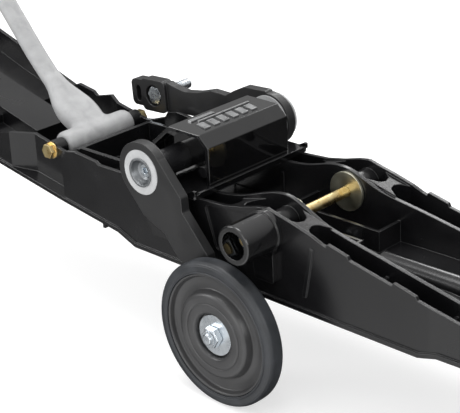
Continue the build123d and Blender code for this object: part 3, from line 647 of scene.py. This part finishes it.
def buildMarkTree():
    tree, enter, leave = startTree("markRow", (
        ("Count", "NodeSocketInt", 6), ("Pitch", "NodeSocketFloat", 0.012),
        ("Bar Length", "NodeSocketFloat", 0.02), ("Bar Width", "NodeSocketFloat", 0.005),
        ("Bar Height", "NodeSocketFloat", 0.0012), ("Slant", "NodeSocketFloat", 0.3),
        ("Material", "NodeSocketMaterial", None)))
    line = addNode(tree, "GeometryNodeMeshLine")
    wire(tree, enter.outputs["Count"], line.inputs["Count"])
    step = addNode(tree, "ShaderNodeCombineXYZ")
    wire(tree, enter.outputs["Pitch"], step.inputs["X"])
    wire(tree, step.outputs[0], line.inputs["Offset"])
    size = addNode(tree, "ShaderNodeCombineXYZ")
    wire(tree, enter.outputs["Bar Width"], size.inputs["X"])
    wire(tree, enter.outputs["Bar Length"], size.inputs["Y"])
    wire(tree, enter.outputs["Bar Height"], size.inputs["Z"])
    bar = addNode(tree, "GeometryNodeMeshCube")
    wire(tree, size.outputs[0], bar.inputs["Size"])
    lean = addNode(tree, "ShaderNodeCombineXYZ")
    wire(tree, enter.outputs["Slant"], lean.inputs["Z"])
    spreadOut = addNode(tree, "GeometryNodeInstanceOnPoints")
    wire(tree, line.outputs["Mesh"], spreadOut.inputs["Points"])
    wire(tree, bar.outputs["Mesh"], spreadOut.inputs["Instance"])
    wire(tree, lean.outputs[0], spreadOut.inputs["Rotation"])
    endTree(tree, enter, leave, spreadOut.outputs["Instances"])
    return tree


def buildPinTree():
    tree, enter, leave = startTree("pinMarks", (
        ("Count", "NodeSocketInt", 6), ("Pitch", "NodeSocketFloat", 0.03),
        ("Pin Radius", "NodeSocketFloat", 0.003), ("Pin Height", "NodeSocketFloat", 0.0005),
        ("Material", "NodeSocketMaterial", None)))
    line = addNode(tree, "GeometryNodeMeshLine")
    wire(tree, enter.outputs["Count"], line.inputs["Count"])
    step = addNode(tree, "ShaderNodeCombineXYZ")
    wire(tree, enter.outputs["Pitch"], step.inputs["X"])
    wire(tree, step.outputs[0], line.inputs["Offset"])
    pin = addNode(tree, "GeometryNodeMeshCylinder")
    pin.inputs["Vertices"].default_value = 24
    wire(tree, enter.outputs["Pin Radius"], pin.inputs["Radius"])
    wire(tree, enter.outputs["Pin Height"], pin.inputs["Depth"])
    spreadOut = addNode(tree, "GeometryNodeInstanceOnPoints")
    wire(tree, line.outputs["Mesh"], spreadOut.inputs["Points"])
    wire(tree, pin.outputs["Mesh"], spreadOut.inputs["Instance"])
    endTree(tree, enter, leave, spreadOut.outputs["Instances"])
    return tree


markTree = buildMarkTree()
pinTree = buildPinTree()

deckMarkSettings = {"count": 5, "pitch": 15 * mm, "length": 27 * mm, "width": 7 * mm, "height": 1.6 * mm,
                    "slant": 0.22, "start": (-0.524, 0, 0.0319), "climb": 14.4}
channelPinSettings = {"count": 3, "pitch": 17 * mm, "radius": 3.2 * mm, "height": 0.8 * mm}


def addDeckMarks(s):
    values = {"Count": s["count"], "Pitch": s["pitch"], "Bar Length": s["length"], "Bar Width": s["width"],
              "Bar Height": s["height"], "Slant": s["slant"], "Material": finishes["ski_plastic"]}
    place = Matrix.Translation(s["start"]) @ Matrix.Rotation(math.radians(s["climb"]), 4, "Y")
    marks = runTree("deckMarks", markTree, values, place)
    return finishPiece(marks, "ski", "ski_plastic")


def addPinMarks(name, start, s):
    values = {"Count": s["count"], "Pitch": s["pitch"], "Pin Radius": s["radius"], "Pin Height": s["height"],
              "Material": finishes["ski_plastic"]}
    pins = runTree(name, pinTree, values, Matrix.Translation(start))
    return finishPiece(pins, "ski", "ski_plastic")


addDeckMarks(deckMarkSettings)
addPinMarks("floorPinsNear", (0.055, -0.058, -0.0610), channelPinSettings)
addPinMarks("floorPinsFar", (0.055, 0.058, -0.0610), channelPinSettings)
print("raised marks made")

# stage
stageSettings = {"floorSize": 30, "low": 0.05, "high": 0.9, "backdrop": 1.0,
                 "floorGlow": 0.5,
                 "frontDim": 0.12, "frontPale": 1.25}


def addStage(s):
    floorZ = cadBounds[0][2]
    mesh = bpy.data.meshes.new("studioFloor")
    half = s["floorSize"] / 2
    corners = [(-half, -half, floorZ), (half, -half, floorZ), (half, half, floorZ), (-half, half, floorZ)]
    mesh.from_pydata(corners, [], [(0, 1, 2, 3)])
    floor = meshObject("studioFloor", mesh)
    material = bpy.data.materials.new("paleFloor")
    material.use_nodes = True
    shader = material.node_tree.nodes["Principled BSDF"]
    shader.inputs["Base Color"].default_value = (0.62, 0.62, 0.62, 1)
    shader.inputs["Roughness"].default_value = 0.9
    shader.inputs["Specular IOR Level"].default_value = 0.0
    shader.inputs["Emission Color"].default_value = (1, 1, 1, 1)
    shader.inputs["Emission Strength"].default_value = s["floorGlow"]
    floor.visible_glossy = False
    floor.data.materials.append(material)
    world = bpy.data.worlds.new("studioWorld")
    bpy.context.scene.world = world
    world.use_nodes = True
    tree = world.node_tree
    sky = tree.nodes["Background"]
    # a room that is bright overhead and dim low down, against a plain white backdrop
    direction = addNode(tree, "ShaderNodeTexCoord")
    split = addNode(tree, "ShaderNodeSeparateXYZ")
    wire(tree, direction.outputs["Generated"], split.inputs[0])
    level = spread(tree, split.outputs["Z"], s["low"], s["high"], -0.1, 0.9)
    # a pale wall low down in front, brighter towards the ski's tail
    ahead = spread(tree, split.outputs["Y"], 1, 0, -0.55, -0.3)
    pale = spread(tree, split.outputs["X"], s["frontDim"], s["frontPale"], -0.74, -0.44)
    level = mathNode(tree, "MAXIMUM", level, mathNode(tree, "MULTIPLY", ahead, pale))
    plain = addNode(tree, "ShaderNodeLightPath")
    gap = mathNode(tree, "SUBTRACT", s["backdrop"], level)
    shown = mathNode(tree, "MULTIPLY", gap, plain.outputs["Is Camera Ray"])
    wire(tree, mathNode(tree, "ADD", level, shown), sky.inputs["Strength"])
    sky.inputs["Color"].default_value = (1, 1, 1, 1)


lamps = (
    {"name": "topSoftbox", "place": (-0.3, 0.1, 1.5), "aim": (-0.1, 0, 0), "size": (1.2, 0.7), "power": 16},
    {"name": "leftSoftbox", "place": (-1.4, -1.2, 0.8), "aim": (-0.1, 0, 0), "size": (0.5, 1.1), "power": 11},
    {"name": "backSoftbox", "place": (-0.5, 1.8, 1.0), "aim": (0, 0, 0), "size": (1.6, 0.6), "power": 18},
    {"name": "rightSoftbox", "place": (1.7, -0.5, 0.7), "aim": (0, 0, 0), "size": (0.5, 0.9), "power": 8},
    {"name": "lowStrip", "place": (0.2, -1.9, 0.16), "aim": (0, 0, -0.04), "size": (1.3, 0.16), "power": 3.5},
)


def addLamp(s):
    data = bpy.data.lights.new(s["name"], "AREA")
    data.shape = "RECTANGLE"
    data.size, data.size_y = s["size"]
    data.energy = s["power"]
    lamp = bpy.data.objects.new(s["name"], data)
    place, aim = Vector(s["place"]), Vector(s["aim"])
    turn = (aim - place).to_track_quat("-Z", "Y").to_matrix().to_4x4()
    lamp.matrix_world = Matrix.Translation(place) @ turn
    lamp.visible_camera = False
    bpy.context.collection.objects.link(lamp)


addStage(stageSettings)
for lampSettings in lamps:
    addLamp(lampSettings)
bpy.context.scene.view_settings.view_transform = "Standard"
print("stage lit")
